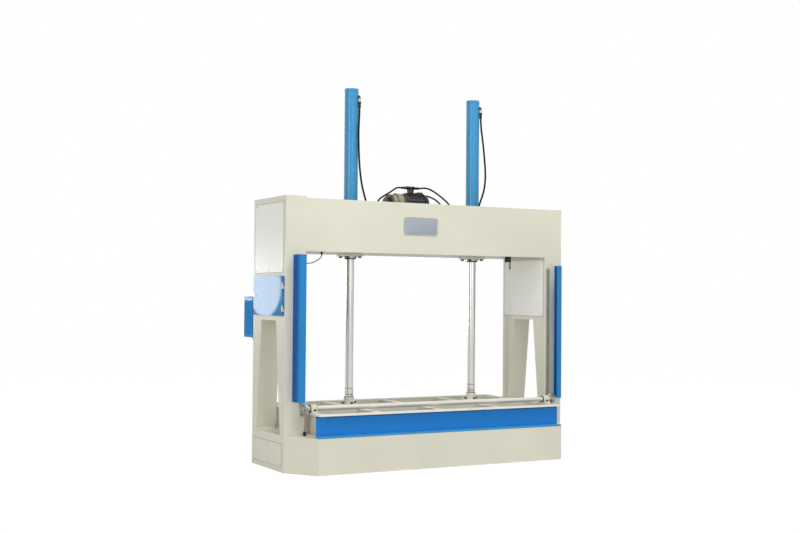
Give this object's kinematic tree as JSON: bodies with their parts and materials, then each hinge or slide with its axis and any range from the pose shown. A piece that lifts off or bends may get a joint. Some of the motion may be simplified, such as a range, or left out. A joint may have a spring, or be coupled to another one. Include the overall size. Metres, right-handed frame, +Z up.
{
  "type": "hydraulic cold press",
  "caption": "Portal-frame hydraulic cold press: a platen on twin cylinders, kept level by a rack-and-pinion shaft, clamps panels against a broad base.",
  "frame": {"origin": "centre of the base's footprint, on the floor", "axes": "+Z up, +X along the platen from the cabinet column to the other column, -Y towards the front"},
  "size_m": [2.931, 1.3, 3.41],
  "materials": {
    "cream_paint": "semi-gloss enamel",
    "blue_paint": "semi-gloss enamel",
    "cylinder_blue": "semi-gloss enamel",
    "bright_chrome": "hard chrome, ground",
    "machined_steel": "machined",
    "painted_shaft": "semi-gloss enamel",
    "black_bolt": "black oxide",
    "black_plastic": "moulded",
    "grey_plastic": "moulded",
    "green_button": "moulded",
    "black_button": "moulded",
    "red_button": "moulded",
    "motor_black": "satin enamel",
    "motor_tan": "satin enamel",
    "rotor_steel": "machined",
    "tank_grey": "satin enamel",
    "valve_steel": "zinc plated",
    "hose_rubber": "smooth"
  },
  "bodies": {
    "frame": {"base_frame": "cream_paint", "column_left": "cream_paint", "column_right": "cream_paint", "beam_front_plate": "cream_paint", "beam_rear_plate": "cream_paint", "beam_floor_plate": "cream_paint", "column_cap": "cream_paint", "column_covers": "cream_paint", "barrel_flanges": "cream_paint", "control_box": "blue_paint", "control_box_neck": "blue_paint", "guard_left": "blue_paint", "guard_right": "blue_paint", "barrels": "cylinder_blue", "rod_glands": "machined_steel", "racks": "machined_steel", "cabinet_back_plate": "machined_steel", "cabinet_hinge_fixed": "machined_steel", "cylinder_elbows": "machined_steel", "top_fitting": "machined_steel", "oil_risers": "machined_steel", "guard_screws": "machined_steel", "flange_bolts": "black_bolt", "contactors": "black_plastic", "limit_switches": "black_plastic", "cable_glands": "black_plastic", "button_bezels": "black_plastic", "terminal_strip": "grey_plastic", "motor_stator": "motor_black", "fan_cowl": "motor_black", "oil_pump": "motor_black", "bell_housing": "motor_tan", "oil_tank": "tank_grey", "valve_block": "valve_steel", "left_hose": "hose_rubber", "right_hose": "hose_rubber", "feed_hose": "hose_rubber", "return_hose": "hose_rubber", "drain_hose": "hose_rubber", "switch_cable": "hose_rubber"},
    "platen": {"platen_front_channel": "blue_paint", "platen_rear_channel": "cream_paint", "platen_end_channels": "cream_paint", "platen_spine": "cream_paint", "platen_cross_members": "cream_paint", "pressing_plate": "machined_steel", "rods": "bright_chrome", "pistons": "machined_steel", "rod_feet": "cream_paint", "platen_bolts": "black_bolt", "bearing_blocks": "cream_paint"},
    "sync_shaft": {"sync_shaft": "painted_shaft", "pinions": "machined_steel"},
    "cabinet_door": {"cabinet_door": "blue_paint", "cabinet_hinge_leaf": "machined_steel"},
    "down_button": {"down_button": "black_button"},
    "up_button": {"up_button": "green_button"},
    "stop_button": {"stop_button": "red_button"},
    "motor_rotor": {"motor_rotor": "rotor_steel"},
    "trip_lever": {"trip_lever": "black_plastic"}
  },
  "joints": [
    {"name": "platen_slide", "type": "slide", "parent": "frame", "child": "platen", "axis": [0, 0, 1], "range_m": [0, 1.15]},
    {"name": "sync_spin", "type": "hinge", "parent": "platen", "child": "sync_shaft", "pos_m": [0, -0.43, 0.5485], "axis": [1, 0, 0], "range_deg": [-1325, 5]},
    {"name": "cabinet_hinge", "type": "hinge", "parent": "frame", "child": "cabinet_door", "pos_m": [-1.471, -0.348, 1.5], "axis": [0, 0, 1], "range_deg": [0, 110]},
    {"name": "down_press", "type": "slide", "parent": "frame", "child": "down_button", "axis": [0, -1, 0], "range_m": [0, 0.005], "stiffness_N_per_m": 400},
    {"name": "up_press", "type": "slide", "parent": "frame", "child": "up_button", "axis": [0, -1, 0], "range_m": [0, 0.005], "stiffness_N_per_m": 400},
    {"name": "stop_press", "type": "slide", "parent": "frame", "child": "stop_button", "axis": [0, -1, 0], "range_m": [0, 0.005], "stiffness_N_per_m": 400},
    {"name": "motor_spin", "type": "hinge", "parent": "frame", "child": "motor_rotor", "pos_m": [0, 0, 2.38], "axis": [1, 0, 0], "continuous": true},
    {"name": "trip_swing", "type": "hinge", "parent": "frame", "child": "trip_lever", "pos_m": [0.9, -0.3, 1.874], "axis": [1, 0, 0], "range_deg": [-40, 40], "stiffness_Nm_per_rad": 0.5}
  ],
  "couplings": [
    {"joint": "sync_spin", "follows": "platen_slide", "rad_per_m": -20}
  ]
}
